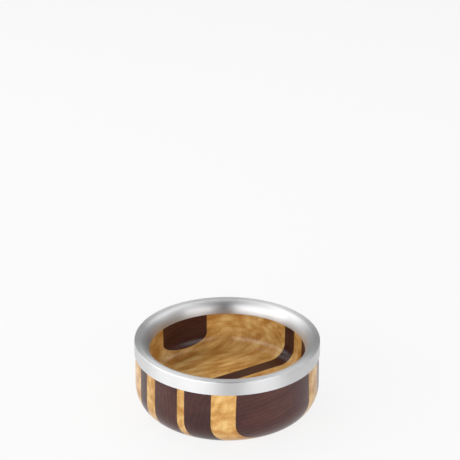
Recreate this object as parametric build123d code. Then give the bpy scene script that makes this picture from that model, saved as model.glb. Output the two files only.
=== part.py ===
from build123d import *
import os

# A wine coaster: a shallow round dish turned from a glued block of dark and light boards,
# with a pressed steel ring bonded over its rim and a felt disc let into its foot.
# Millimetres. The origin is the centre of the face it stands on, +Z is up and -Y is the front.

# The turned dish
belly_radius = 66.1       # widest part of the outer wall, just above the lower corner
rim_draw_in = 0.35        # how far the wall closes in from the belly up to its shoulder
body_height = 42.8        # from the wooden foot up to the shoulder under the ring
corner_inset = 16.8       # lower outer corner, measured in along the foot
corner_rise = 19.4        # lower outer corner, measured up the wall
wall_thickness = 5.7      # just below the shoulder
floor_thickness = 16.1    # from the wooden foot up to the floor of the well
well_fillet = 11.5        # round between the floor and the wall, inside

# The boards, from the front right to the back left
board_run = 33.2          # direction of the boards in degrees, from +X towards +Y
front_cap_depth = 7.7     # deepest point of the front cap, from the belly to its glue joint
edge_light_board = 10.1
left_dark_board = 15.3
pinstripe_board = 5.1
wide_dark_board = 19.9
centre_light_board = 10.2
centre_dark_board = 10.0
back_cap_depth = 9.1      # deepest point of the back cap; the wide light board fills what is left

# The steel ring
sheet_thickness = 1.0
ring_proud = 0.65         # how far its skirt stands out from the wooden wall below it
seam = 0.3                # open joint between the wooden shoulder and the skirt's lower edge
skirt_height = 10.3       # outer band
top_land = 3.85           # nearly flat part of the top, from the outer face inwards
lip_overhang = 4.25       # how far the inner edge stands in from the wooden wall
lip_lift = 1.3            # the inner edge ends this much higher than the skirt
ring_corner = 0.8         # round on the upper outer edge
edge_break = 0.2          # round on the sheet's two cut edges

# The adhesive that fills the ring
bond_thickness = 0.25     # between the steel and the outside and top of the wooden spigot
bond_setback = 1.0        # how far it stops short of the ring's open edges

# The felt disc
felt_thickness = 2.0
felt_recess = 1.2         # depth of its seat in the foot
felt_margin = 4.3         # flat wooden border left around the seat
felt_gap = 0.3            # clearance between the felt's edge and its seat

# Heights
foot_z = felt_thickness - felt_recess
shoulder_z = foot_z + body_height
skirt_z = shoulder_z + seam
lip_z = skirt_z + lip_lift
rim_top_z = skirt_z + skirt_height
floor_z = foot_z + floor_thickness

# Radii
neck_radius = belly_radius - rim_draw_in
well_radius = neck_radius - wall_thickness
ring_radius = neck_radius + ring_proud
wood_inset = sheet_thickness + bond_thickness
spigot_radius = ring_radius - wood_inset
land_radius = ring_radius - top_land
lip_radius = well_radius - lip_overhang
foot_radius = belly_radius - corner_inset
seat_radius = foot_radius - felt_margin
wall_middle = (spigot_radius + well_radius) / 2


def turned(section):
    """Turn a half-section, drawn with the radius along X and the height along Y, about +Z."""
    return revolve(Plane.XZ * section, axis=Axis.Z)


def rim_section(inset):
    """Half-section of the rim's outer form, drawn in by inset, closed through the wooden spigot."""
    side = ring_radius - inset
    lip = EllipticalCenterArc(
        (land_radius, lip_z),
        land_radius - lip_radius - inset,
        rim_top_z - lip_z - inset,
        start_angle=90,
        arc_size=90,
    )
    rest = Polyline(
        lip @ 1,
        (wall_middle, lip_z),
        (wall_middle, skirt_z),
        (side, skirt_z),
        (side, rim_top_z - inset),
        lip @ 0,
    )
    return make_face(Curve() + [lip, rest])


def dish_section():
    """Half-section of the wooden dish, its wall turned down to a spigot that goes up inside the ring."""
    corner = EllipticalCenterArc(
        (foot_radius, foot_z + corner_rise),
        corner_inset,
        corner_rise,
        start_angle=270,
        arc_size=90,
    )
    belly = TangentArc(corner @ 1, (neck_radius, shoulder_z), tangent=(0, 1))
    well_corner = CenterArc(
        (well_radius - well_fillet, floor_z + well_fillet), well_fillet, start_angle=270, arc_size=90
    )
    wall = Polyline(
        belly @ 1,
        (spigot_radius, shoulder_z),
        (spigot_radius, lip_z),
        (well_radius, lip_z),
        well_corner @ 1,
    )
    floor = Polyline(well_corner @ 0, (0, floor_z), (0, foot_z), corner @ 0)
    body = make_face(Curve() + [corner, belly, wall, well_corner, floor])
    spigot_end = Pos(well_radius, lip_z) * Rectangle(
        wall_thickness, skirt_height, align=(Align.MIN, Align.MIN)
    )
    return body + (spigot_end & rim_section(wood_inset))


def dish():
    """The whole turned dish, with the felt's seat cut into its foot."""
    seat = Pos(0, 0, foot_z) * Cylinder(
        seat_radius, felt_recess, align=(Align.CENTER, Align.CENTER, Align.MIN)
    )
    return turned(dish_section()) - seat


def board_limits():
    """Each board's name and its two faces, measured from the axis along the stack."""
    front_joint = belly_radius - front_cap_depth
    back_joint = back_cap_depth - belly_radius
    block_side = 2 * belly_radius
    limits = [("board_1_dark_cap", front_joint, block_side)]
    joint = front_joint
    for name, thickness in (
        ("board_2_light", edge_light_board),
        ("board_3_dark", left_dark_board),
        ("board_4_light_narrow", pinstripe_board),
        ("board_5_dark_wide", wide_dark_board),
        ("board_6_light", centre_light_board),
        ("board_7_dark", centre_dark_board),
    ):
        limits.append((name, joint - thickness, joint))
        joint -= thickness
    limits.append(("board_8_light_wide", back_joint, joint))
    limits.append(("board_9_dark_cap", -block_side, back_joint))
    return limits


def boards():
    """The dish divided at its glue joints into the boards that it was turned from."""
    whole = dish()
    stack = Rot(0, 0, board_run - 90)
    block_length = 4 * belly_radius
    made = {}
    for name, back, front in board_limits():
        blank = Pos((back + front) / 2, 0, rim_top_z / 2) * Box(front - back, block_length, rim_top_z)
        made[name] = whole & (stack * blank)
    return made


def steel_ring():
    """The pressed ring: skirt, land and rounded lip in one sheet, with its edges eased."""
    outside = rim_section(0)
    upper_edge = outside.vertices().group_by(Axis.Y)[-1].sort_by(Axis.X)[-1]
    section = fillet(upper_edge, ring_corner) - rim_section(sheet_thickness)
    cut_edges = section.vertices().group_by(Axis.Y)[0] + section.vertices().filter_by(
        lambda corner: abs(corner.Y - lip_z) < edge_break
    )
    return turned(fillet(cut_edges, edge_break))


def bond_line():
    """The cured adhesive that fills the ring around the spigot, set back from both openings."""
    inner_part = Pos(0, lip_z + bond_setback) * Rectangle(
        wall_middle, skirt_height, align=(Align.MIN, Align.MIN)
    )
    outer_part = Pos(wall_middle, skirt_z + bond_setback) * Rectangle(
        ring_radius - wall_middle, skirt_height, align=(Align.MIN, Align.MIN)
    )
    hollow = rim_section(sheet_thickness) - dish_section()
    return turned(hollow & (inner_part + outer_part))


def felt_disc():
    """The felt disc in its seat, standing proud of the wooden foot."""
    return Cylinder(
        seat_radius - felt_gap, felt_thickness, align=(Align.CENTER, Align.CENTER, Align.MIN)
    )


nodes = boards()
nodes["rim_ring"] = steel_ring()
nodes["rim_bond"] = bond_line()
nodes["felt_disc"] = felt_disc()

os.makedirs("parts", exist_ok=True)
for name, solid in nodes.items():
    export_step(solid, f"parts/{name}.step")
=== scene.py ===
import math

import bmesh
import bpy
from mathutils import Matrix, Vector, noise


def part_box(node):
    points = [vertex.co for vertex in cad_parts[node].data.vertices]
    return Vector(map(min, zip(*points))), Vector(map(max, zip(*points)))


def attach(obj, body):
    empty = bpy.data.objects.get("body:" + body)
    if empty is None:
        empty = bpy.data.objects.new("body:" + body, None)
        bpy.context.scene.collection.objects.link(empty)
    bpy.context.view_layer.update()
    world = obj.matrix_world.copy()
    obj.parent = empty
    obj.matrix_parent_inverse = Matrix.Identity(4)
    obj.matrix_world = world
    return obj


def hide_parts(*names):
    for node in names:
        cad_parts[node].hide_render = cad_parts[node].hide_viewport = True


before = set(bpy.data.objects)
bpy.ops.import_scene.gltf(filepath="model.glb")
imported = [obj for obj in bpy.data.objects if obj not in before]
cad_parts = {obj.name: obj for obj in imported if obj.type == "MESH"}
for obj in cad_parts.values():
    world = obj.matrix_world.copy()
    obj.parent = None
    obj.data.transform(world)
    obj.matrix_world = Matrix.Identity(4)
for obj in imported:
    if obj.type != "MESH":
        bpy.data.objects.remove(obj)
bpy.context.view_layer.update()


# Light boards
# Four boards of a golden, short-fibred hardwood, planed flat and glued face to face between the dark
# ones, then turned with them. They are oiled, so the broad figure, fine fibres and open pores still show.
board_run = math.radians(33.2)
mm_per_metre = 1000.0
glue_line = 0.16
glue_line_shade = 0.55
glued_face_margin = 0.001
end_grain_shade = 0.72
grain_slope = math.radians(13.0)
ring_stretch = (0.1, 1.0, 1.0)
wood_specular = 0.2
fibre_span = (0.3, 0.7)
oil_roughness = (0.26, 0.36)
oil_coat = 0.35
oil_coat_roughness = 0.18
pore_depth = 0.00006

gold = (0.86, 0.560, 0.215)
honey = (0.72, 0.400, 0.118)
amber = (0.56, 0.262, 0.060)
brown_pore = (0.34, 0.16, 0.055)
early_wood_tint = (1.0, 1.0, 1.0)
late_wood_tint = (0.82, 0.72, 0.58)
late_wood_share = 0.5
fibre_dark = (0.32,) * 3
fibre_bright = (0.68,) * 3
fibre_share = 0.6
light_year = 4.2
light_waver = 3.0
light_figure_per_mm = (0.035, 0.16, 0.14)
light_fibres_per_mm = (0.07, 1.6, 1.6)
light_pores_per_mm = (0.20, 2.6, 2.6)
light_pore_span = (0.60, 0.72)
light_pore_share = 0.5
light_relief = 0.15
light_hearts = {
    "board_2_light": (12.0, 131.0, -22.0),
    "board_4_light_narrow": (60.0, 96.0, -31.0),
    "board_6_light": (168.0, -84.0, -19.0),
    "board_8_light_wide": (143.0, -67.0, 34.0),
}


def add_node(tree, kind, sockets=None, **properties):
    """A shader node with its properties set and its sockets filled with values or linked outputs."""
    made = tree.nodes.new(kind)
    for name, value in properties.items():
        setattr(made, name, value)
    for name, value in (sockets or {}).items():
        if isinstance(value, bpy.types.NodeSocket):
            tree.links.new(value, made.inputs[name])
        else:
            made.inputs[name].default_value = value
    return made


def ramp(tree, factor, stops):
    """A colour ramp through the given (place, colour) stops."""
    made = add_node(tree, "ShaderNodeValToRGB", {"Fac": factor})
    points = made.color_ramp.elements
    while len(points) < len(stops):
        points.new(1.0)
    for point, (place, colour) in zip(points, stops):
        point.position = place
        point.color = (*colour, 1.0)
    return made.outputs["Color"]


def scaled(tree, factor, low, high, bottom, top):
    """The factor's stretch from low to high, mapped evenly to bottom and top."""
    made = add_node(
        tree,
        "ShaderNodeMapRange",
        {"Value": factor, "From Min": low, "From Max": high, "To Min": bottom, "To Max": top},
    )
    return made.outputs["Result"]


def mixed(tree, blend, amount, first, second):
    """Two colours blended by an amount, any of them a value or a linked output."""
    made = add_node(
        tree, "ShaderNodeMixRGB", {"Fac": amount, "Color1": first, "Color2": second}, blend_type=blend
    )
    return made.outputs["Color"]


def worked_out(tree, operation, *values):
    """One arithmetic step on numbers or linked outputs."""
    made = add_node(tree, "ShaderNodeMath", dict(enumerate(values)), operation=operation)
    return made.outputs["Value"]


def noise_on(tree, axes, per_unit, detail, rough):
    """Noise with the given number of features per unit along each axis."""
    squeezed = add_node(tree, "ShaderNodeMapping", {"Vector": axes, "Scale": per_unit})
    made = add_node(
        tree,
        "ShaderNodeTexNoise",
        {"Vector": squeezed.outputs["Vector"], "Scale": 1.0, "Detail": detail, "Roughness": rough},
    )
    return made.outputs["Fac"]


def new_finish(name):
    """An empty material, as (material, node tree, shader)."""
    made = bpy.data.materials.new(name)
    made.use_nodes = True
    return made, made.node_tree, made.node_tree.nodes["Principled BSDF"]


def grain_axes(tree, heart):
    """Millimetres along the grain, across the stack and up, measured from the tree's heart."""
    along_board = add_node(
        tree,
        "ShaderNodeMapping",
        {
            "Vector": add_node(tree, "ShaderNodeTexCoord").outputs["Object"],
            "Scale": (mm_per_metre,) * 3,
            "Rotation": (0.0, 0.0, -board_run),
        },
    ).outputs["Vector"]
    along_grain = add_node(
        tree,
        "ShaderNodeMapping",
        {"Vector": along_board, "Rotation": (0.0, grain_slope, 0.0), "Location": heart},
    )
    return along_grain.outputs["Vector"]


def year_rings(tree, axes, width, waver):
    """Soft year rings of the given width around the tree's heart, wandering slowly along the board."""
    wave_period = math.tau / 20
    slow = add_node(tree, "ShaderNodeMapping", {"Vector": axes, "Scale": ring_stretch})
    made = add_node(
        tree,
        "ShaderNodeTexWave",
        {
            "Vector": slow.outputs["Vector"],
            "Scale": wave_period / width,
            "Distortion": waver,
            "Detail": 1.5,
            "Detail Scale": 1.2,
            "Detail Roughness": 0.45,
        },
        wave_type="RINGS",
        rings_direction="X",
        wave_profile="SIN",
    )
    return made.outputs["Fac"]


def joint_faces(board, heart):
    """Where the board's glued faces lie on its grain axes. A cap's turned outside isn't one of them."""
    across = Vector((-math.sin(board_run), math.cos(board_run), 0.0))
    belly = max(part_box("board_8_light_wide")[1].y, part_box("board_3_dark")[1].x)
    places = [corner.co.dot(across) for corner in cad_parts[board].data.vertices]
    faces = [face for face in (min(places), max(places)) if abs(face) < belly - glued_face_margin]
    return [face * mm_per_metre + heart[1] for face in faces]


def turned_shade(tree, axes, faces):
    """Darkening of a turned board: its end grain drinks more oil, and its glued faces show as a line."""
    normal = add_node(tree, "ShaderNodeTexCoord").outputs["Normal"]
    run = (math.cos(board_run), math.sin(board_run), 0.0)
    facing = add_node(tree, "ShaderNodeVectorMath", {0: normal, 1: run}, operation="DOT_PRODUCT")
    end_grain = worked_out(tree, "POWER", worked_out(tree, "ABSOLUTE", facing.outputs["Value"]), 2.0)
    shade = scaled(tree, end_grain, 0.0, 1.0, 1.0, end_grain_shade)
    across = add_node(tree, "ShaderNodeSeparateXYZ", {"Vector": axes}).outputs["Y"]
    for face in faces:
        depth = worked_out(tree, "ABSOLUTE", worked_out(tree, "SUBTRACT", across, face))
        line = scaled(tree, depth, 0.0, glue_line, glue_line_shade, 1.0)
        shade = worked_out(tree, "MULTIPLY", shade, line)
    return shade


def oiled(tree, shader, fibres, in_pore, relief_strength):
    """The oiled face of a turned board: raised fibres, sunken pores and a thin film over both."""
    tree.links.new(scaled(tree, fibres, *fibre_span, *oil_roughness), shader.inputs["Roughness"])
    height = worked_out(tree, "SUBTRACT", fibres, in_pore)
    relief = add_node(
        tree, "ShaderNodeBump", {"Height": height, "Strength": relief_strength, "Distance": pore_depth}
    )
    tree.links.new(relief.outputs["Normal"], shader.inputs["Normal"])
    shader.inputs["Specular IOR Level"].default_value = wood_specular
    shader.inputs["Coat Weight"].default_value = oil_coat
    shader.inputs["Coat Roughness"].default_value = oil_coat_roughness


def light_wood(name, heart, faces):
    """Golden hardwood: broad bright figure, soft year rings, fine fibres and short brown pores."""
    made, tree, shader = new_finish(name)
    axes = grain_axes(tree, heart)
    figure = noise_on(tree, axes, light_figure_per_mm, detail=2.0, rough=0.5)
    fibres = noise_on(tree, axes, light_fibres_per_mm, detail=4.0, rough=0.6)
    pores = noise_on(tree, axes, light_pores_per_mm, detail=1.0, rough=0.4)
    rings = year_rings(tree, axes, light_year, light_waver)

    body = ramp(tree, figure, [(0.35, amber), (0.50, honey), (0.64, gold)])
    late_wood = ramp(tree, rings, [(0.45, early_wood_tint), (1.0, late_wood_tint)])
    banded = mixed(tree, "MULTIPLY", late_wood_share, body, late_wood)
    fibre_tone = ramp(tree, fibres, [(fibre_span[0], fibre_dark), (fibre_span[1], fibre_bright)])
    streaked = mixed(tree, "OVERLAY", fibre_share, banded, fibre_tone)
    in_pore = scaled(tree, pores, *light_pore_span, 0.0, 1.0)
    pore_colour = worked_out(tree, "MULTIPLY", in_pore, light_pore_share)
    pored = mixed(tree, "MIX", pore_colour, streaked, (*brown_pore, 1.0))
    shaded = mixed(tree, "MULTIPLY", 1.0, pored, turned_shade(tree, axes, faces))
    tree.links.new(shaded, shader.inputs["Base Color"])
    oiled(tree, shader, fibres, in_pore, light_relief)
    return made


for board, heart in light_hearts.items():
    finish = light_wood(board + "_finish", heart, joint_faces(board, heart))
    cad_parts[board].material_slots[0].material = finish


# Dark boards
# Five boards of a close-grained purple-brown hardwood, some a shade deeper than others: a cap at the
# front and at the back of the block and three between the light boards, glued, turned and oiled with them.
dark_heartwood = (0.045, 0.0125, 0.0100)
purple_brown = (0.070, 0.0195, 0.0155)
tan_streak = (0.104, 0.0350, 0.0245)
black_pore = (0.022, 0.0080, 0.0065)
dark_year = 3.2
dark_waver = 4.0
dark_ring_share = 0.13
dark_drift_per_mm = (0.014, 0.09, 0.09)
dark_drift_share = 0.45
dark_fibres_per_mm = (0.06, 1.7, 1.7)
dark_pores_per_mm = (0.14, 2.8, 2.8)
dark_pore_span = (0.60, 0.70)
dark_pore_share = 0.55
dark_relief = 0.22
dark_hearts = {
    "board_1_dark_cap": (130.0, 62.0, -150.0),
    "board_3_dark": (-58.0, 112.0, -24.0),
    "board_5_dark_wide": (95.0, -76.0, -37.0),
    "board_7_dark": (-121.0, 83.0, -15.0),
    "board_9_dark_cap": (17.0, -48.0, 140.0),
}
dark_depths = {
    "board_1_dark_cap": 1.0,
    "board_3_dark": 0.8,
    "board_5_dark_wide": 1.1,
    "board_7_dark": 0.8,
    "board_9_dark_cap": 1.0,
}


def dark_wood(name, heart, depth, faces):
    """Purple-brown hardwood: slow drifts of tone, narrow year rings, long fibres, fine black pores."""
    made, tree, shader = new_finish(name)
    axes = grain_axes(tree, heart)
    rings = year_rings(tree, axes, dark_year, dark_waver)
    drift = noise_on(tree, axes, dark_drift_per_mm, detail=2.0, rough=0.5)
    fibres = noise_on(tree, axes, dark_fibres_per_mm, detail=5.0, rough=0.62)
    pores = noise_on(tree, axes, dark_pores_per_mm, detail=1.0, rough=0.4)

    figure = mixed(tree, "MIX", dark_ring_share, fibres, rings)
    tone = mixed(tree, "MIX", dark_drift_share, figure, drift)
    body = ramp(tree, tone, [(0.36, tan_streak), (0.50, purple_brown), (0.64, dark_heartwood)])
    in_pore = scaled(tree, pores, *dark_pore_span, 0.0, 1.0)
    pore_colour = worked_out(tree, "MULTIPLY", in_pore, dark_pore_share)
    pored = mixed(tree, "MIX", pore_colour, body, (*black_pore, 1.0))
    shade = worked_out(tree, "MULTIPLY", turned_shade(tree, axes, faces), depth)
    shaded = mixed(tree, "MULTIPLY", 1.0, pored, shade)
    tree.links.new(shaded, shader.inputs["Base Color"])
    oiled(tree, shader, fibres, in_pore, dark_relief)
    return made


for board, heart in dark_hearts.items():
    finish = dark_wood(board + "_finish", heart, dark_depths[board], joint_faces(board, heart))
    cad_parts[board].material_slots[0].material = finish


# Bond
# The cured brown adhesive in the hollow of the steel ring, around the spigot on top of the wooden wall.
# It was run in as a paste, so it is uneven, a little glossy and flecked with tiny bubbles.
resin_brown = (0.085, 0.060, 0.040)
resin_amber = (0.150, 0.105, 0.065)
resin_roughness = (0.35, 0.60)
clouds_per_metre = (420.0,) * 3
bubbles_per_metre = (2600.0,) * 3
bubble_relief = 0.4
bubble_depth = 0.0001


def cured_resin():
    """Brown filler with cloudy colour and small bubbles."""
    made, tree, shader = new_finish("cured_resin")
    place = add_node(tree, "ShaderNodeTexCoord").outputs["Object"]
    clouds = noise_on(tree, place, clouds_per_metre, detail=4.0, rough=0.6)
    bubbles = noise_on(tree, place, bubbles_per_metre, detail=1.0, rough=0.4)
    colour = ramp(tree, clouds, [(0.3, resin_brown), (0.7, resin_amber)])
    tree.links.new(colour, shader.inputs["Base Color"])
    tree.links.new(scaled(tree, clouds, 0.0, 1.0, *resin_roughness), shader.inputs["Roughness"])
    relief = add_node(
        tree, "ShaderNodeBump", {"Height": bubbles, "Strength": bubble_relief, "Distance": bubble_depth}
    )
    tree.links.new(relief.outputs["Normal"], shader.inputs["Normal"])
    return made


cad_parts["rim_bond"].material_slots[0].material = cured_resin()


# Steel ring
# One sheet of stainless steel, pressed into a channel with a plain skirt, a flat land and a rounded
# inner lip. It was polished on the lathe to a satin face and is bonded over the wooden rim.
steel_face = (0.74, 0.74, 0.745)
steel_shade = (0.66, 0.66, 0.67)
polish_lines_per_metre = (5000.0,) * 3
polish_relief = 0.15
polish_depth = 0.00002
polish_pull = 0.8
polish_quarter_turn = 0.25
wander_per_metre = (60.0,) * 3
wander_share = 0.3
smudges_per_metre = (45.0,) * 3
satin_roughness = (0.42, 0.50)


def satin_steel():
    """Stainless steel with fine rings of polishing lines around its axis and faint handling smudges."""
    made, tree, shader = new_finish("satin_steel_face")
    place = add_node(tree, "ShaderNodeTexCoord").outputs["Object"]
    parts = add_node(tree, "ShaderNodeSeparateXYZ", {"Vector": place})
    flat = add_node(tree, "ShaderNodeCombineXYZ", {"X": parts.outputs["X"], "Y": parts.outputs["Y"]})
    radius = add_node(tree, "ShaderNodeVectorMath", {0: flat.outputs["Vector"]}, operation="LENGTH")
    section = add_node(
        tree,
        "ShaderNodeCombineXYZ",
        {"X": radius.outputs["Value"], "Y": parts.outputs["Z"]},
    )
    lines = noise_on(tree, section.outputs["Vector"], polish_lines_per_metre, detail=3.0, rough=0.7)
    wander = noise_on(tree, place, wander_per_metre, detail=2.0, rough=0.5)
    smudges = noise_on(tree, place, smudges_per_metre, detail=4.0, rough=0.55)
    tone = mixed(tree, "MIX", wander_share, lines, wander)
    colour = ramp(tree, tone, [(0.35, steel_shade), (0.65, steel_face)])
    tree.links.new(colour, shader.inputs["Base Color"])
    tree.links.new(scaled(tree, smudges, 0.0, 1.0, *satin_roughness), shader.inputs["Roughness"])
    relief = add_node(
        tree, "ShaderNodeBump", {"Height": lines, "Strength": polish_relief, "Distance": polish_depth}
    )
    tree.links.new(relief.outputs["Normal"], shader.inputs["Normal"])
    around = add_node(tree, "ShaderNodeTangent", direction_type="RADIAL", axis="Z")
    tree.links.new(around.outputs["Tangent"], shader.inputs["Tangent"])
    shader.inputs["Metallic"].default_value = 1.0
    shader.inputs["Anisotropic"].default_value = polish_pull
    shader.inputs["Anisotropic Rotation"].default_value = polish_quarter_turn
    return made


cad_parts["rim_ring"].material_slots[0].material = satin_steel()


# Felt disc
# A disc of pressed wool felt, die-cut and glued into the shallow seat in the foot. Its edge is a little
# rounded by the cutter and its lower face is matted, with low tufts that lie on the table.
felt_low, felt_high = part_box("felt_disc")
felt_radius = felt_high.x
felt_thickness = felt_high.z - felt_low.z
felt_edge = 0.0005
felt_edge_steps = 5
felt_turns = 220
felt_rings = 90
felt_seam = 1e-6
tuft_height = 0.00022
tuft_size = 0.0009
tuft_increment = 1.0
tuft_octave_ratio = 2.0
tuft_octaves = 3
tuft_middle = 0.5
felt_charcoal = (0.030, 0.030, 0.033)
felt_grey = (0.085, 0.085, 0.090)
matting_per_metre = (700.0,) * 3
felt_fibres_per_metre = (1800.0, 5200.0, 3000.0)
felt_cross_per_metre = (5200.0, 1800.0, 3000.0)
felt_fibre_share = 0.45
nap_relief = 0.7
nap_depth = 0.0003
felt_roughness = 0.95
felt_sheen = 0.35
felt_sheen_roughness = 0.6


def felt_shape():
    """The disc turned from its half-section, with the lower face tufted."""
    shape = bmesh.new()
    section = [Vector((felt_radius * ring / felt_rings, 0.0, 0.0)) for ring in range(felt_rings)]
    section[-1].x = felt_radius - felt_edge
    for step in range(1, felt_edge_steps + 1):
        turn = math.radians(90.0 * step / felt_edge_steps)
        inwards = felt_edge * (1 - math.sin(turn))
        upwards = felt_edge * (1 - math.cos(turn))
        section.append(Vector((felt_radius - inwards, 0.0, upwards)))
    section.append(Vector((felt_radius, 0.0, felt_thickness - felt_edge)))
    section.append(Vector((felt_radius - felt_edge, 0.0, felt_thickness)))
    section.append(Vector((0.0, 0.0, felt_thickness)))
    points = [shape.verts.new(place) for place in section]
    edges = [shape.edges.new(pair) for pair in zip(points, points[1:])]
    bmesh.ops.spin(
        shape,
        geom=points + edges,
        cent=(0, 0, 0),
        axis=(0, 0, 1),
        angle=math.tau,
        steps=felt_turns,
        use_merge=True,
    )
    bmesh.ops.remove_doubles(shape, verts=shape.verts, dist=felt_seam)
    bmesh.ops.recalc_face_normals(shape, faces=shape.faces)
    for point in shape.verts:
        if point.co.z < felt_edge:
            tuft = noise.fractal(point.co / tuft_size, tuft_increment, tuft_octave_ratio, tuft_octaves)
            point.co.z += tuft_height * min(1.0, max(0.0, tuft_middle + tuft))
    for face in shape.faces:
        face.smooth = True
    mesh = bpy.data.meshes.new("felt_underside")
    shape.to_mesh(mesh)
    shape.free()
    return mesh


def wool_felt():
    """Matted charcoal wool: mixed dark and grey fibres, with a soft sheen."""
    made, tree, shader = new_finish("wool_felt")
    place = add_node(tree, "ShaderNodeTexCoord").outputs["Object"]
    matting = noise_on(tree, place, matting_per_metre, detail=6.0, rough=0.7)
    fibres = noise_on(tree, place, felt_fibres_per_metre, detail=3.0, rough=0.6)
    cross = noise_on(tree, place, felt_cross_per_metre, detail=3.0, rough=0.6)
    felted = mixed(tree, "LIGHTEN", 1.0, fibres, cross)
    blended = mixed(tree, "MIX", felt_fibre_share, matting, felted)
    colour = ramp(tree, blended, [(0.38, felt_charcoal), (0.68, felt_grey)])
    tree.links.new(colour, shader.inputs["Base Color"])
    relief = add_node(
        tree, "ShaderNodeBump", {"Height": blended, "Strength": nap_relief, "Distance": nap_depth}
    )
    tree.links.new(relief.outputs["Normal"], shader.inputs["Normal"])
    shader.inputs["Roughness"].default_value = felt_roughness
    shader.inputs["Sheen Weight"].default_value = felt_sheen
    shader.inputs["Sheen Roughness"].default_value = felt_sheen_roughness
    return made


felt = bpy.data.objects.new("felt_underside", felt_shape())
bpy.context.scene.collection.objects.link(felt)
felt.data.materials.append(wool_felt())
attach(felt, "root")
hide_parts("felt_disc")


# Floor
# A seamless sheet of white paper that the coaster stands on. It runs far enough back to fill the view,
# shows white, and still takes the soft shadow under the foot.
floor_reach = 6.0
paper_white = (0.74, 0.74, 0.74, 1.0)
paper_glow = 0.85


def seamless_paper():
    """White paper whose brightness comes partly from itself for the camera and for reflections."""
    made = bpy.data.materials.new("seamless_paper")
    made.use_nodes = True
    tree = made.node_tree
    tree.nodes.remove(tree.nodes["Principled BSDF"])
    path = add_node(tree, "ShaderNodeLightPath").outputs
    mirrored = worked_out(tree, "MAXIMUM", path["Is Glossy Ray"], path["Is Transmission Ray"])
    seen = worked_out(tree, "MAXIMUM", path["Is Camera Ray"], mirrored)
    share = worked_out(tree, "MULTIPLY", seen, paper_glow)
    lit = add_node(tree, "ShaderNodeBsdfDiffuse", {"Color": paper_white})
    white = add_node(tree, "ShaderNodeEmission", {"Color": (1.0, 1.0, 1.0, 1.0), "Strength": 1.0})
    paper = add_node(tree, "ShaderNodeMixShader", {0: share, 1: lit.outputs[0], 2: white.outputs[0]})
    tree.links.new(paper.outputs[0], tree.nodes["Material Output"].inputs["Surface"])
    return made


paper = bmesh.new()
bmesh.ops.create_grid(paper, x_segments=1, y_segments=1, size=floor_reach)
paper_mesh = bpy.data.meshes.new("floor")
paper.to_mesh(paper_mesh)
paper.free()
floor = bpy.data.objects.new("floor", paper_mesh)
floor.data.materials.append(seamless_paper())
bpy.context.scene.collection.objects.link(floor)


# Studio light
# A tent of soft boxes around the coaster: low ones that are brightest at the front left and weak behind,
# and two high ones at the back. The gap between the front ones, where the camera stands, is dark.
room_level = 0.05
box_distance = 1.4


def studio_room():
    """The dim, even light of the room itself."""
    world = bpy.data.worlds.new("studio_room")
    bpy.context.scene.world = world
    world.use_nodes = True
    world.node_tree.nodes["Background"].inputs["Color"].default_value = (1.0, 1.0, 1.0, 1.0)
    world.node_tree.nodes["Background"].inputs["Strength"].default_value = room_level


def soft_box(name, turned_and_raised, width, height, brightness):
    """A soft box that faces the coaster, turned about it from the front and raised, in degrees."""
    turn, rise = (math.radians(angle) for angle in turned_and_raised)
    towards = Vector((math.sin(turn) * math.cos(rise), -math.cos(turn) * math.cos(rise), math.sin(rise)))
    lamp = bpy.data.lights.new(name, "AREA")
    lamp.shape = "RECTANGLE"
    lamp.size = width
    lamp.size_y = height
    lamp.energy = brightness * math.pi * width * height
    made = bpy.data.objects.new(name, lamp)
    made.location = towards * box_distance
    made.rotation_euler = (-towards).to_track_quat("-Z", "Y").to_euler()
    bpy.context.scene.collection.objects.link(made)


studio_room()
soft_box("soft_box_left_front", (-33.0, 22.0), 1.05, 1.0, 3.6)
soft_box("soft_box_left_side", (-74.0, 20.0), 0.95, 1.0, 2.9)
soft_box("soft_box_left_back", (-113.0, 20.0), 0.95, 1.0, 1.05)
soft_box("soft_box_right_front", (42.0, 20.0), 1.1, 1.0, 2.55)
soft_box("soft_box_right_side", (86.0, 20.0), 1.1, 1.0, 0.35)
soft_box("soft_box_back_left", (-155.0, 30.0), 1.0, 1.0, 0.3)
soft_box("soft_box_back_right", (150.0, 30.0), 1.1, 1.0, 0.15)
soft_box("soft_box_high_left", (-138.0, 55.0), 1.1, 0.9, 1.85)
soft_box("soft_box_high_right", (138.0, 55.0), 1.1, 0.9, 1.75)


# Camera
# A long lens that looks down at the coaster from the front. Its place follows from where the centre of
# the ring's lower edge falls in the picture.
image_side = 460.0
focal_pixels = 2040.9
ring_centre_pixel = (227.2, 350.6)
ring_distance = 1.463
view_pitch = math.radians(24.51)
view_roll = math.radians(0.16)
ring_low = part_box("rim_ring")[0]

level = Vector((1.0, 0.0, 0.0))
ahead = Vector((0.0, math.cos(view_pitch), -math.sin(view_pitch)))
upright = Vector((0.0, math.sin(view_pitch), math.cos(view_pitch)))
across = level * math.cos(view_roll) + upright * math.sin(view_roll)
upward = upright * math.cos(view_roll) - level * math.sin(view_roll)
ring_right = (ring_centre_pixel[0] - image_side / 2) / focal_pixels * ring_distance
ring_up = (image_side / 2 - ring_centre_pixel[1]) / focal_pixels * ring_distance

lens = bpy.data.cameras.new("camera")
lens.sensor_width = 36.0
lens.lens = focal_pixels / image_side * lens.sensor_width
camera = bpy.data.objects.new("camera", lens)
camera.location = (
    Vector((0.0, 0.0, ring_low.z)) - across * ring_right - upward * ring_up - ahead * ring_distance
)
camera.rotation_euler = Matrix((across, upward, -ahead)).transposed().to_euler()
bpy.context.scene.collection.objects.link(camera)
bpy.context.scene.camera = camera
bpy.context.scene.view_settings.view_transform = "Standard"
